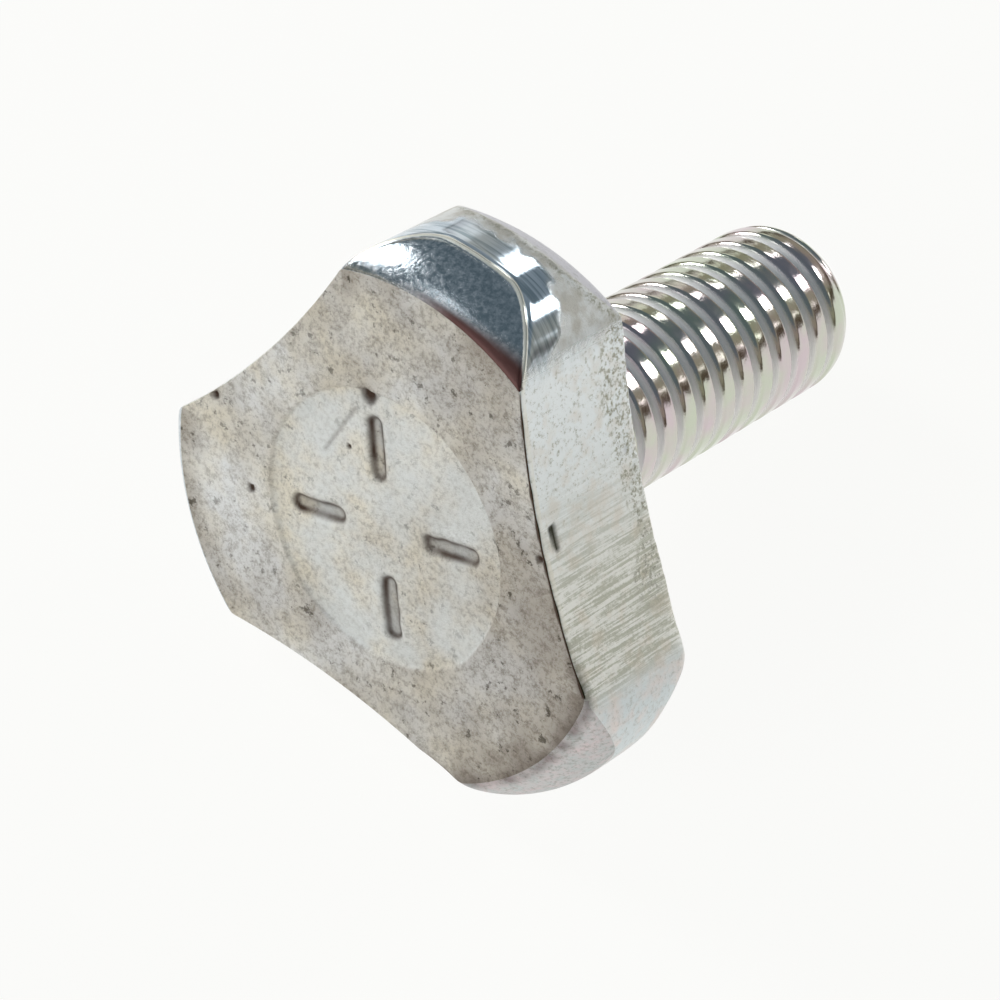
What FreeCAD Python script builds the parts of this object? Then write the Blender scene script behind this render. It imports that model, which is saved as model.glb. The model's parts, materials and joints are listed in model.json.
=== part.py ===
import FreeCAD, Part
import math
import os

from FreeCAD import Vector

# Blade fixing screw: one piece of forged steel.
# A thick three-lobed head, gripped by its scooped sides, on a short M6 rolled shank.
# Sizes are in millimetres.
#
# Screw frame, used while building: +Z is the screw axis and points out of the
# head's face, and z = 0 is the seat, the underside of the head.
# The finished screw is then laid down the way it rests on a table.

# Head
head_height = 4.74
lobe_radius = 9.38
lobe_corner_radius = 2.9
scoop_radius = 27.7
scoop_floor_distance = 6.34
lobe_count = 3
first_lobe_angle = 90.0

# Bevels turned around the head: flat left inside the bevel, and how deep it runs
# down the rim of a lobe. The face's bevel is domed, the seat's is straight.
face_flat_radius = 8.24
face_bevel_depth = 1.7
face_bevel_radius = 2.9
seat_flat_radius = 8.62
seat_bevel_depth = 1.3

# Shallow round sink pressed into the face
sink_radius = 4.55
sink_depth = 0.12
sink_wall_slope = 45.0

# Shank
shank_length = 16.0
neck_diameter = 5.35
neck_length = 1.5
neck_root_radius = 0.35
end_taper_length = 0.6
end_taper_depth = 0.4
end_bevel_length = 0.55
end_bevel_depth = 0.75

# Thread: rolled, right-handed
thread_diameter = 5.85
thread_pitch = 1.0
thread_depth = 0.36
thread_flank_angle = 30.0
thread_start_angle = 220.0

# Room by which cutting tools stand clear of the metal they cut
tool_clearance = 0.2
groove_clearance = 0.05


def polar(radius, angle, height=0.0):
    return Vector(radius * math.cos(angle), radius * math.sin(angle), height)


def arc_edge(centre, radius, start, end):
    """Arc in the XY plane through the angles start and end, the short way."""
    middle = (start + end) / 2.0
    points = [centre + polar(radius, angle) for angle in (start, middle, end)]
    return Part.Arc(*points).toShape()


def angle_of(vector):
    return math.atan2(vector.y, vector.x)


def near(angle, reference):
    """The same direction, written as the turn closest to the reference."""
    turn = 2.0 * math.pi
    return angle + turn * round((reference - angle) / turn)


def corner_swing():
    """Angle between the middle of a scoop and the centre of a lobe's rounded corner."""
    inner = lobe_radius - lobe_corner_radius
    outer = scoop_floor_distance + scoop_radius
    reach = scoop_radius + lobe_corner_radius
    cosine = (inner ** 2 + outer ** 2 - reach ** 2) / (2.0 * inner * outer)
    return math.acos(cosine)


def head_outline():
    """Closed outline of the head: rim arcs, rounded corners and scoops, all tangent."""
    step = 2.0 * math.pi / lobe_count
    swing = corner_swing()
    corner_distance = lobe_radius - lobe_corner_radius
    edges = []
    for index in range(lobe_count):
        lobe = math.radians(first_lobe_angle) + index * step
        scoop = lobe + step / 2.0
        rim_start = lobe - step / 2.0 + swing
        rim_end = scoop - swing
        edges.append(arc_edge(Vector(), lobe_radius, rim_start, rim_end))

        scoop_centre = polar(scoop_floor_distance + scoop_radius, scoop)
        leaving = polar(corner_distance, rim_end)
        entering = polar(corner_distance, scoop + swing)
        to_leaving = near(angle_of(leaving - scoop_centre), scoop + math.pi)
        to_entering = near(angle_of(entering - scoop_centre), scoop + math.pi)
        edges.append(arc_edge(leaving, lobe_corner_radius, rim_end, to_leaving - math.pi))
        edges.append(arc_edge(scoop_centre, scoop_radius, to_leaving, to_entering))
        next_rim = scoop + swing
        edges.append(arc_edge(entering, lobe_corner_radius, to_entering - math.pi, next_rim))
    return Part.Wire(Part.__sortEdges__(edges))


def revolve(profile):
    """Solid turned about the screw axis from the edges of half its section."""
    face = Part.Face(Part.Wire(profile))
    return face.revolve(Vector(), Vector(0, 0, 1), 360.0)


def straight_edges(corners):
    """Lines that join the corners of a section, each a radius and a height."""
    points = [Vector(radius, 0, height) for radius, height in corners]
    return [Part.makeLine(a, b) for a, b in zip(points, points[1:])]


def face_bevel_centre():
    """Centre of the arc that domes the face's bevel from the flat out to the rim."""
    half_run = (lobe_radius - face_flat_radius) / 2.0
    half_drop = face_bevel_depth / 2.0
    half_chord = math.hypot(half_run, half_drop)
    inward = math.sqrt(face_bevel_radius ** 2 - half_chord ** 2) / half_chord
    radius = face_flat_radius + half_run - inward * half_drop
    height = head_height - half_drop - inward * half_run
    return Vector(radius, 0, height)


def bevelled_disc():
    """Turned blank that bevels both ends of the lobes and stands clear of their rim."""
    centre = face_bevel_centre()
    outer = centre.x + face_bevel_radius
    swept = math.atan2(head_height - centre.z, face_flat_radius - centre.x)
    arc_points = []
    for angle in (0.0, swept / 2.0, swept):
        reach = Vector(math.cos(angle), 0, math.sin(angle)) * face_bevel_radius
        arc_points.append(centre + reach)
    seat_run = lobe_radius - seat_flat_radius
    seat_rise = seat_bevel_depth * (outer - seat_flat_radius) / seat_run
    sides = straight_edges([
        (face_flat_radius, head_height),
        (0.0, head_height),
        (0.0, 0.0),
        (seat_flat_radius, 0.0),
        (outer, seat_rise),
        (outer, centre.z),
    ])
    return revolve(sides + [Part.Arc(*arc_points).toShape()])


def face_sink():
    """Shallow pan that sinks the middle of the face."""
    slope = math.tan(math.radians(sink_wall_slope))
    floor_radius = sink_radius - sink_depth / slope
    mouth_radius = sink_radius + tool_clearance / slope
    height = sink_depth + tool_clearance
    floor = Vector(0, 0, head_height - sink_depth)
    return Part.makeCone(floor_radius, mouth_radius, height, floor)


def head():
    prism = Part.Face(head_outline()).extrude(Vector(0, 0, head_height))
    return prism.common(bevelled_disc()).cut(face_sink())


def shank_blank():
    """Neck, swelling to the thread's crests, and the end, tapered and then bevelled."""
    neck = neck_diameter / 2.0
    crest = thread_diameter / 2.0
    root = neck_root_radius
    bend = root * (1.0 - math.sqrt(0.5))
    bevel_top = end_bevel_length - shank_length
    taper_top = bevel_top + end_taper_length
    bevel_radius = crest - end_taper_depth
    root_arc = Part.Arc(
        Vector(neck + root, 0, 0),
        Vector(neck + bend, 0, -bend),
        Vector(neck, 0, -root),
    )
    sides = straight_edges([
        (neck, -root),
        (neck, -neck_length),
        (crest, neck - crest - neck_length),
        (crest, taper_top),
        (bevel_radius, bevel_top),
        (bevel_radius - end_bevel_depth, -shank_length),
        (0.0, -shank_length),
        (0.0, tool_clearance),
        (neck + root, tool_clearance),
        (neck + root, 0.0),
    ])
    return revolve([root_arc.toShape()] + sides)


def groove_section(height):
    """Section of one thread groove: a sharp V, open just past the crests."""
    crest = thread_diameter / 2.0
    root = crest - thread_depth
    mouth = crest + groove_clearance
    half_mouth = (mouth - root) * math.tan(math.radians(thread_flank_angle))
    return Part.Wire(straight_edges([
        (root, height),
        (mouth, height + half_mouth),
        (mouth, height - half_mouth),
        (root, height),
    ]))


def groove_path(start, full_turns):
    """Right-handed helix, one edge to a turn, whose last turn climbs out of the metal."""
    climb = math.atan((thread_depth + tool_clearance) / thread_pitch)
    edges = []
    for index in range(full_turns + 1):
        spread = math.degrees(climb) if index == full_turns else 0.0
        turn = Part.makeHelix(thread_pitch, thread_pitch, thread_diameter / 2.0, spread)
        turn.translate(Vector(0, 0, start + index * thread_pitch))
        edges.extend(turn.Edges)
    return Part.Wire(edges)


def thread_groove():
    """The helical groove, from past the end of the screw up to the neck."""
    full_turns = math.ceil((shank_length - neck_length) / thread_pitch) + 1
    start = -neck_length - (full_turns + 1) * thread_pitch
    path = groove_path(start, full_turns)
    return path.makePipeShell([groove_section(start)], True, True)


def shank():
    threaded = shank_blank().cut(thread_groove())
    threaded.rotate(Vector(), Vector(0, 0, 1), thread_start_angle)
    return threaded


def screw():
    return head().fuse(shank()).removeSplitter().Solids[0]


def resting_tilt():
    """Slope of the axis when the seat edges of two lobes and the end touch the table."""
    swing = corner_swing()
    corner_distance = lobe_radius - lobe_corner_radius
    lobe_drop = corner_distance * math.cos(swing) + lobe_corner_radius
    end_drop = thread_diameter / 2.0
    end_reach = shank_length - end_bevel_length - end_taper_length
    return math.atan2(lobe_drop - end_drop, end_reach)


def lay_down(shape):
    """Rest the screw on the table: shank along +X, one lobe up, lowest point at z = 0."""
    tilt = resting_tilt()
    axis = Vector(-math.cos(tilt), 0, math.sin(tilt))
    upper_lobe = Vector(math.sin(tilt), 0, math.cos(tilt))
    sideways = upper_lobe.cross(axis)
    turn = FreeCAD.Rotation(sideways, upper_lobe, axis, "ZYX")
    laid = shape.copy()
    laid.Placement = FreeCAD.Placement(Vector(), turn)
    box = laid.optimalBoundingBox(False, False)
    centre = box.Center
    laid.Placement = FreeCAD.Placement(Vector(-centre.x, -centre.y, -box.ZMin), turn)
    return laid


os.makedirs("parts", exist_ok=True)
finished_screw = lay_down(screw())
finished_screw.exportStep("parts/screw.step")
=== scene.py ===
import json
import math
from itertools import product
from types import SimpleNamespace

import bpy
import numpy as np
from mathutils import Matrix, Vector


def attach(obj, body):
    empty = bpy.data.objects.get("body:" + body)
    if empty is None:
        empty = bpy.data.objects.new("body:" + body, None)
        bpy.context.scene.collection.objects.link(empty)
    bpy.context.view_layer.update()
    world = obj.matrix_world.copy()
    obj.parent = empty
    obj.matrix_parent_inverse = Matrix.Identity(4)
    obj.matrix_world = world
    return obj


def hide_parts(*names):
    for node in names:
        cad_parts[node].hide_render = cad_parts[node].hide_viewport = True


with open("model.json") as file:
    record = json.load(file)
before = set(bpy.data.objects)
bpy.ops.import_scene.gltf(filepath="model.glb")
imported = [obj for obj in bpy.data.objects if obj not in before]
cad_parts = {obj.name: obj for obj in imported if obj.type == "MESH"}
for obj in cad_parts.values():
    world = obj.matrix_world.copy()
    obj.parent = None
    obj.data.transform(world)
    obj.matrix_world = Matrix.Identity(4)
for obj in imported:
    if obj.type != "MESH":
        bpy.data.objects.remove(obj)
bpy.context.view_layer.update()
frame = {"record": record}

# A blade fixing screw: a three-lobed head on a threaded shank, forged and rolled from one
# steel blank and zinc plated.
#
# Screw frame: +Z is the axis and points out of the head's face, z = 0 is the seat,
# and +Y points to the upper lobe. Sizes are in millimetres, as in the part's source.
MM = 0.001
FULL_TURN = 2.0 * math.pi

# How far the seat's mount stands from the axis, towards the upper lobe
SEAT_MOUNT_REACH = 5.5

# Head
HEAD_HEIGHT = 4.74
LOBE_RADIUS = 9.38
LOBE_CORNER_RADIUS = 2.9
SCOOP_RADIUS = 27.7
SCOOP_FLOOR_DISTANCE = 6.34
LOBE_COUNT = 3
FIRST_LOBE_ANGLE = math.radians(90)
FACE_FLAT_RADIUS = 8.24
FACE_BEVEL_DEPTH = 1.7
FACE_BEVEL_RADIUS = 2.9
SEAT_FLAT_RADIUS = 8.62
SEAT_BEVEL_DEPTH = 1.3
SINK_RADIUS = 4.55
SINK_DEPTH = 0.12
SINK_WALL = 0.11

# Distances from the axis to the centres of the scoops' arcs and the lobes' corners
SCOOP_CENTRE = SCOOP_FLOOR_DISTANCE + SCOOP_RADIUS
CORNER_CENTRE = LOBE_RADIUS - LOBE_CORNER_RADIUS

# Shank and thread
SHANK_LENGTH = 16.0
SHANK_OVERLAP = 0.3
NECK_RADIUS = 2.675
NECK_LENGTH = 1.5
NECK_ROOT_RADIUS = 0.35
END_TAPER_LENGTH = 0.6
END_TAPER_DEPTH = 0.4
END_BEVEL_LENGTH = 0.55
END_BEVEL_DEPTH = 0.75
CREST_RADIUS = 2.925
THREAD_PITCH = 1.0
THREAD_DEPTH = 0.36
THREAD_FLANK_ANGLE = math.radians(30)
THREAD_START_ANGLE = math.radians(220)
RUN_OUT_CLIMB = 0.56
RUN_OUT_TURNS = 2.0

# How far each edge is worn round, from the face's edge down to the seat's
FACE_EDGE_WEAR = 0.09
RIM_EDGE_WEAR = 0.05
DULL_LOBE_WEAR = 0.25
SEAT_EDGE_WEAR = 0.06

# How far past the face's edge, past the rim's and before the seat bevel's the wear is
# that edge's own. Between these it changes evenly.
FACE_WEAR_RUN = 0.1
RIM_WEAR_RUN = 0.3
SEAT_WEAR_RUN = 0.5

# Wear of the shank: its blank, its end, and the thread's crests and grooves
BLANK_EDGE_WEAR = 0.04
END_WEAR = 0.3
END_WEAR_RUN = 3.9
CREST_WEAR = 0.1
CREST_UNEVENNESS = 0.004
ROOT_ROUNDING = 0.08
ROOT_LIFT = 0.4
END_GROOVE_WEAR = 0.2
END_GROOVE_FADE = (0.5, 1.7)

# Fineness of the mesh
HEAD_COLUMNS = 600
SHANK_COLUMNS = 256
BEVEL_ARC_POINTS = 24
ROOT_ARC_POINTS = 8
SHANK_RING_COUNT = 330
END_RING_COUNT = 50
END_RINGS_RUN = 3.2
END_RINGS_GAP = 0.05

# Rings of the head. Over the middle of the face they stand at fixed radii. From there
# they are set out between the edges, close together beside each edge.
CORE_RINGS = np.linspace(0.1, 0.8, 8)
INNER_RINGS = np.linspace(0.87, 2.2, 20)
SINK_RINGS = np.linspace(2.26, 4.9, 44)
EDGE_GAPS = np.array([0.03, 0.06, 0.1, 0.15, 0.2, 0.26])
SEAT_GAPS = np.array([0.05, 0.15, 0.6])
SIDE_CLOSENESS = 0.6
FACE_RING_COUNT = 24
BEVEL_RING_COUNT = 9
SIDE_RING_COUNT = 26
SEAT_BEVEL_RING_COUNT = 4

# Least runs that the rings of the two bevels keep, where a scoop has no bevel, and the
# run from which they stand at their full distance. Then the radius of the last ring,
# which hides under the shank.
LEAST_BEVEL_RUN = 0.2
LEAST_SEAT_RUN = 0.4
FULL_BEVEL_RUN = 0.7
SEAT_END_RADIUS = 0.8 * CREST_RADIUS

# Rows of rings up to the end of the face's core, its inner part, the whole face and the
# bevel. In the core every fourth column is kept, in the inner part every second.
CORE_ROWS = len(CORE_RINGS)
INNER_ROWS = CORE_ROWS + len(INNER_RINGS)
FACE_ROWS = INNER_ROWS + len(SINK_RINGS) + 2 * len(EDGE_GAPS) + FACE_RING_COUNT
BEVEL_ROWS = FACE_ROWS + 1 + 2 * len(EDGE_GAPS) + BEVEL_RING_COUNT
CORE_STRIDE = 4
INNER_STRIDE = 2

# Where on the head each finish is used, in the order of the head's materials
FACE, BEVEL, SIDE = range(3)

# Unevenness of each kind: the width of its bumps, and a seed that keeps it apart
FACE_WAVES = (2.6, 1)
FACE_LUMPS = (0.7, 2)
FACE_GRAIN = (0.24, 3)
SINK_EDGE = (1.3, 5)
MARK_EDGE = (0.35, 6)
PIT_EDGE = (0.25, 7)
MARK_SHADE_PATCHES = (0.45, 9)
SIDE_WAVES = (1.8, 11)
CRUMBLING_EDGE = (1.2, 12)
CRUMB_LUMPS = (0.3, 13)
REAR_PATCHES = (0.8, 14)
REAR_SPOTS = (0.3, 15)
BRIGHT_EDGE_GAPS = (0.6, 16)
RIM_LIP_WAVES = (0.7, 17)
CREST_WAVES = (0.5, 21)
SOIL_PATCHES = (2.2, 31)
SOIL_SPOTS = (0.8, 32)
SEAM_WIDTHS = (0.5, 41)
FRINGE_PATCHES = (0.35, 42)

# Marks pressed into the sink: four plain short bars, evenly spaced about the axis.
# The floor, wall, mouth and lip of a bar lie at these shares of its half width.
MARK_COUNT = 4
MARK_FIRST_ANGLE = math.radians(20)
MARK_INNER = 1.85
MARK_OUTER = 3.4
MARK_HALF_WIDTH = 0.32
MARK_DEPTH = 0.13
MARK_RAGGEDNESS = 0.05
MARK_FLOOR = 0.4
MARK_WALL = 0.7
MARK_WALL_WIDTH = 0.1
MARK_MOUTH = 1.15
MARK_LIP = 1.5
MARK_LIP_WIDTH = 0.12
MARK_LIP_HEIGHT = 0.04
# Painted shade in a bar: how dark its floor is painted, and the least its walls are, which vary in
# patches
MARK_FLOOR_SHADE = 0.25
MARK_WALL_LEAST_SHADE = 0.35
SINK_EDGE_WOBBLE = 0.1

# Pits and nicks in the face: x, y, radius and depth. Then one scratch, from end to end.
FACE_PITS = (
    (-7.09, 0.47, 0.24, 0.14), (-5.02, -1.79, 0.19, 0.09), (-1.62, 4.0, 0.4, 0.15),
    (-1.91, 1.88, 0.15, 0.07), (5.47, 2.75, 0.16, 0.1), (4.01, 6.02, 0.12, 0.08),
)
PIT_RAGGEDNESS = 0.4
PIT_FLOOR = 0.3
SCRATCH = ((-2.71, 1.27), (-1.97, 3.28))
SCRATCH_WIDTH = 0.12
SCRATCH_DEPTH = 0.035
SCRATCH_DARKENING = 0.35
FACE_WAVE_DEPTH = 0.03
FACE_LUMP_DEPTH = 0.014
FACE_GRAIN_DEPTH = 0.01

# Side: where it begins past the rim's edge and ends at the seat's bevel
SIDE_BEGINS = (0.05, 0.4)
SIDE_ENDS = (-0.05, 0.3)
SIDE_WAVE_DEPTH = 0.02
FACE_ENDS = (-0.12, 0.0)
SEAT_BEGINS = (0.0, 0.15)

# Dark nick in the right scoop, from end to end: y and height
NICK = ((3.52, 4.16), (3.0, 4.12))
NICK_SLOPE = (0.07, 0.16)
NICK_DEPTH = 0.06

# Metal crumbled by the seat: how far it reaches up a scoop and how much that varies,
# what share of that it reaches on a lobe, and the depth of its lumps
CRUMBLING_REACH = 1.3
CRUMBLING_VARIES = 0.7
CRUMBLING_ON_LOBES = 0.35
CRUMBLING_FADE = 0.35
CRUMB_DEPTH = 0.035
CRUMB_CREST = 0.25

# Thin lip along the edge between the bevel and the rim, worn hollow to both sides
RIM_HOLLOW_PLACE = 0.12
RIM_HOLLOW_WIDTH = 0.05
RIM_HOLLOW_DEPTH = 0.035
RIM_HOLLOW_LEAST = 0.5

# A scoop's finish fades into the lobes' over these angles past its end, in radians. Its
# drawn lines fade out over these angles from its middle.
SCOOP_FADE = (-0.02, 0.1)
DRAWN_FADE = (-0.35, 0.4)

# The lower right lobe is rubbed dull: wholly up to the first of these angles from its
# middle, and not at all from the second
DULL_LOBE_ANGLE = math.radians(330)
DULL_FADE = np.radians([26, 40])

# Dark line along the edge of the right scoop, the same way
SEAM_ANGLE = math.radians(24)
SEAM_FADE = np.radians([38, 44])
SEAM_PLACE = 0.03
SEAM_WIDTH = 0.09
SEAM_WIDTH_VARIES = 0.05
SEAM_SHARPNESS = 0.6

# Brown patches along the face's edge on the dull lobe
FRINGE_PLACE = 0.05
FRINGE_FADE = (0.05, 0.5)
FRINGE_STRENGTH = 0.8
FRINGE_LEAST = 0.2

# Painted reflection of a brown thing on the upper lobe's bevel: where it begins and ends
# round the head, and where its band narrows, and from what to what width
BROWN_REFLECTION_BEGINS = np.radians([40, 48])
BROWN_REFLECTION_ENDS = np.radians([84, 106])
BROWN_REFLECTION_NARROWS = np.radians([50, 90])
BROWN_REFLECTION_LEAST_WIDTH = 0.35
BROWN_REFLECTION_MORE_WIDTH = 1.25
BROWN_REFLECTION_SHARPNESS = 0.35

# Painted highlight, a bright line along the rim's edge: its place in a scoop, and how it fades
BRIGHT_EDGE_IN_SCOOP = 0.14
BRIGHT_EDGE_FADE = (0.06, 0.12)

# Rough metal on the rear of a lobe's side: where it begins, and how much that varies
REAR_BEGINS = (1.1, 1.5)
REAR_PATCH_REACH = 0.35
REAR_SPOT_REACH = 0.25

# Soil on the face: what each thing adds or takes away
SOIL_RIGHTWARD = 0.32
SOIL_IN_PATCHES = 0.45
SOIL_IN_SPOTS = 0.3
SOIL_BY_BEVELS = 0.45
SOIL_BY_BEVELS_FADE = (-1.3, -0.2)
SOIL_BY_BEVELS_LEAST = 0.4
SOIL_LESS_IN_SINK = 0.3

# Widths of the patterns in the zinc, largest first. The real haze of a bright zinc
# surface is too fine to show, so it is drawn as coarse as it needs to be seen.
BLOTCH_WIDTH = 2
THREAD_TINT_WIDTH = 2
STAIN_WIDTH = 5 / 6
RUBBED_CLOUD_WIDTH = 5 / 8
GRIT_WIDTH = 5 / 11
THREAD_WEAR_WIDTH = 1 / 4
SAND_WIDTH = 1 / 5
SIDE_SAND_WIDTH = 2 / 13
HAZE_WIDTH = 1 / 7
DRAWN_LINE_WIDTH = 2 / 23

# How far the drawn lines run down the side and the turned lines run round a rim,
# as the share of their pattern that each direction keeps
DRAWN_STRETCH = (1.0, 1.0, 0.05)
TURNED_STRETCH = (0.6, 0.6, 9.0)

# Camera: where it looks from, in degrees and metres
VIEW_AZIMUTH = -139.952
VIEW_ELEVATION = 49.739
VIEW_ROLL = -2.751
VIEW_DISTANCE = 0.11042
VIEW_TARGET = Vector((-0.004977, -0.000792, 0.006034))
LENS = 131.0
NEAREST_SEEN = 0.005
FARTHEST_SEEN = 20.0

# Room, in metres
TABLE_SIZE = 6.0
LAMP_DISTANCE = 0.4

# Lamps and windows that show as the bright spots on the bevel, the rim and the crests:
# name, azimuth and elevation in degrees, width in metres, and watts
LAMPS = (
    ("key_lamp", -19, 26, 0.08, 0.24),
    ("window", 22, 27, 0.055, 0.05),
    ("pale_wall", 44, 14, 0.14, 0.03),
    ("rear_window", 97, 33, 0.14, 0.6),
    ("high_lamp", 140, 50, 0.06, 0.03),
    ("low_lamp", -36, 12, 0.03, 0.005),
    ("front_lamp", 172, 27, 0.24, 0.6),
)

# Numbers that scatter the cells of the unevenness, as hash functions use them
FAR_CORNER = 1000.0
CELL_STRIDES = (73856093, 19349663, 83492791)
SEED_STRIDE = 2654435761
SCATTER_ROUNDS = ((15, 2246822519), (13, 3266489917))
LAST_SHIFT = 16
WORD_MASK = 0xFFFFFFFF
HALF_WORD = 2147483647.5

# Where a worn corner takes its points from: how many, how far, and how evenly
WEAR_SAMPLES = 9
WEAR_REACH = 2.0
WEAR_FALLOFF = 0.8


# Shapes shared by the head and the shank

def smooth_step(low, high, value):
    """0 up to the low value, 1 from the high one, and a soft slope between them."""
    t = np.clip((value - low) / (high - low), 0.0, 1.0)
    return t * t * (3.0 - 2.0 * t)


def smooth_min(a, b, rounding):
    """The smaller of two surfaces, with their edge worn round."""
    blend = np.clip(0.5 + 0.5 * (b - a) / rounding, 0.0, 1.0)
    return b + (a - b) * blend - rounding * blend * (1.0 - blend)


def between(low, high, share):
    """The value that lies this share of the way from the low one to the high one."""
    return low + (high - low) * share


def ridge(distance, width):
    """1 where the distance is none, fading to both sides over the width."""
    return np.exp(-(distance / width) ** 2)


def scattered(cells, seed):
    """A value from -1 to 1 for each cell, unlike its neighbours'."""
    mixed = cells[..., 0] * CELL_STRIDES[0] ^ cells[..., 1] * CELL_STRIDES[1]
    mixed = mixed ^ cells[..., 2] * CELL_STRIDES[2]
    mixed = (mixed ^ seed * SEED_STRIDE) & WORD_MASK
    for shift, factor in SCATTER_ROUNDS:
        mixed = (mixed ^ mixed >> shift) * factor & WORD_MASK
    return (mixed ^ mixed >> LAST_SHIFT) / HALF_WORD - 1.0


def unevenness(points, kind):
    """Smooth noise from -1 to 1 at each point, alike on every run."""
    width, seed = kind
    scaled = points / width + FAR_CORNER
    corner = np.floor(scaled).astype(np.int64)
    part = scaled - corner
    part = part * part * (3.0 - 2.0 * part)
    total = np.zeros(points.shape[:-1])
    for z, y, x in product((0, 1), repeat=3):
        offset = np.array([x, y, z])
        weight = np.where(offset == 1, part, 1.0 - part).prod(axis=-1)
        total += scattered(corner + offset, seed) * weight
    return total


def patches(points, kind):
    """The same noise, from 0 to 1."""
    return 0.5 + 0.5 * unevenness(points, kind)


def distance_to_line(x, y, start, end):
    """Distance from a straight stroke between two points."""
    run_x, run_y = end[0] - start[0], end[1] - start[1]
    share = ((x - start[0]) * run_x + (y - start[1]) * run_y) / (run_x ** 2 + run_y ** 2)
    share = np.clip(share, 0.0, 1.0)
    return np.hypot(x - start[0] - share * run_x, y - start[1] - share * run_y)


def lengths_along(corners):
    """Length of a profile up to each of its corners."""
    steps = np.hypot(np.diff(corners[:, 0]), np.diff(corners[:, 1]))
    return np.concatenate([[0.0], np.cumsum(steps)])


def softened(corners, stations, wear):
    """Points along a sharp profile, its corners worn round over the given lengths."""
    lengths = lengths_along(corners)
    spread = np.linspace(-1.0, 1.0, WEAR_SAMPLES)
    samples = stations[:, None] + spread[None, :] * wear[:, None] * WEAR_REACH
    weight = 1.0 - spread ** 2 * WEAR_FALLOFF
    weight /= weight.sum()
    samples = np.clip(samples, lengths[0], lengths[-1])
    radius = (np.interp(samples, lengths, corners[:, 0]) * weight).sum(axis=1)
    height = (np.interp(samples, lengths, corners[:, 1]) * weight).sum(axis=1)
    return radius, height


def turned(radius, angles, height):
    """Points at these radii, angles and heights, along the last axis."""
    return np.stack([radius * np.cos(angles), radius * np.sin(angles), height], axis=-1)


def stitch(upper, lower):
    """Faces between two rings of vertices, the lower as fine or some times finer."""
    count = len(upper)
    ratio = len(lower) // count
    faces = []
    for i in range(count):
        a, b = upper[i], upper[(i + 1) % count]
        fan = [lower[(i * ratio + j) % len(lower)] for j in range(ratio + 1)]
        if ratio == 1:
            faces.append((a, fan[0], fan[1], b))
            continue
        middle = ratio // 2
        faces += [(a, fan[j], fan[j + 1]) for j in range(middle)]
        faces.append((a, fan[middle], b))
        faces += [(b, fan[j], fan[j + 1]) for j in range(middle, ratio)]
    return faces


def top_cap(middle, ring):
    """Faces that close a piece from its first ring to the middle."""
    return [(middle, a, b) for a, b in zip(ring, ring[1:] + ring[:1])]


def bottom_cap(middle, ring):
    """Faces that close a piece from its last ring to the middle."""
    return [(a, middle, b) for a, b in zip(ring, ring[1:] + ring[:1])]


def screw_placement():
    """Where the screw lies, from the seat's mount in the record."""
    mounts = {mount["name"]: mount for mount in frame["record"]["mounts"]}
    axis = -Vector(mounts["seat"]["axis"])
    sideways = Vector((0.0, -1.0, 0.0))
    upper_lobe = axis.cross(sideways)
    centre = Vector(mounts["seat"]["pos_m"]) - upper_lobe * SEAT_MOUNT_REACH * MM
    turn = Matrix((sideways, upper_lobe, axis)).transposed().to_4x4()
    return Matrix.Translation(centre) @ turn


def add_piece(name, points, faces, materials, indices, layers):
    """A piece of the screw: its mesh, finishes, and the layers its finishes read."""
    placement = np.array(screw_placement())
    laid = points @ placement[:3, :3].T * MM + placement[:3, 3]
    mesh = bpy.data.meshes.new(name)
    mesh.from_pydata(laid.tolist(), [], faces)
    for material in materials:
        mesh.materials.append(material)
    mesh.polygons.foreach_set("material_index", indices)
    mesh.polygons.foreach_set("use_smooth", [True] * len(faces))
    place = mesh.attributes.new("place", "FLOAT_VECTOR", "POINT")
    place.data.foreach_set("vector", points.astype(np.float32).ravel())
    for layer, values in layers.items():
        attribute = mesh.attributes.new(layer, "FLOAT", "POINT")
        attribute.data.foreach_set("value", values.astype(np.float32))
    mesh.update()
    piece = bpy.data.objects.new(name, mesh)
    bpy.context.scene.collection.objects.link(piece)
    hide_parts("screw")
    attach(piece, "root")


# Outline and profile of the head

def from_scoop(angle):
    """Angle from the middle of the nearest scoop."""
    step = FULL_TURN / LOBE_COUNT
    return (angle - FIRST_LOBE_ANGLE) % step - step / 2.0


def angle_apart(angles, other):
    """Angle between two directions, the short way round."""
    return np.abs((angles - other + math.pi) % FULL_TURN - math.pi)


def corner_swing():
    """Angle between the middle of a scoop and the centre of a lobe's rounded corner."""
    reach = SCOOP_RADIUS + LOBE_CORNER_RADIUS
    squares = CORNER_CENTRE ** 2 + SCOOP_CENTRE ** 2 - reach ** 2
    return math.acos(squares / (2.0 * CORNER_CENTRE * SCOOP_CENTRE))


def scoop_end():
    """Angle from the middle of a scoop at which it meets the rounded corner."""
    swing = corner_swing()
    share = SCOOP_RADIUS / (SCOOP_RADIUS + LOBE_CORNER_RADIUS)
    x = SCOOP_CENTRE + (CORNER_CENTRE * math.cos(swing) - SCOOP_CENTRE) * share
    y = CORNER_CENTRE * math.sin(swing) * share
    return math.atan2(y, x)


def outline_radius(angle):
    """Distance from the axis to the head's side: scoops, rounded corners and rims."""
    offset = np.abs(from_scoop(angle))
    swing = corner_swing()
    chord = np.clip(SCOOP_RADIUS ** 2 - (SCOOP_CENTRE * np.sin(offset)) ** 2, 0.0, None)
    scoop = SCOOP_CENTRE * np.cos(offset) - np.sqrt(chord)
    drop = CORNER_CENTRE * np.sin(offset - swing)
    bow = np.clip(LOBE_CORNER_RADIUS ** 2 - drop ** 2, 0.0, None)
    corner = CORNER_CENTRE * np.cos(offset - swing) + np.sqrt(bow)
    radius = np.where(offset < scoop_end(), scoop, corner)
    return np.where(offset < swing, radius, LOBE_RADIUS)


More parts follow.
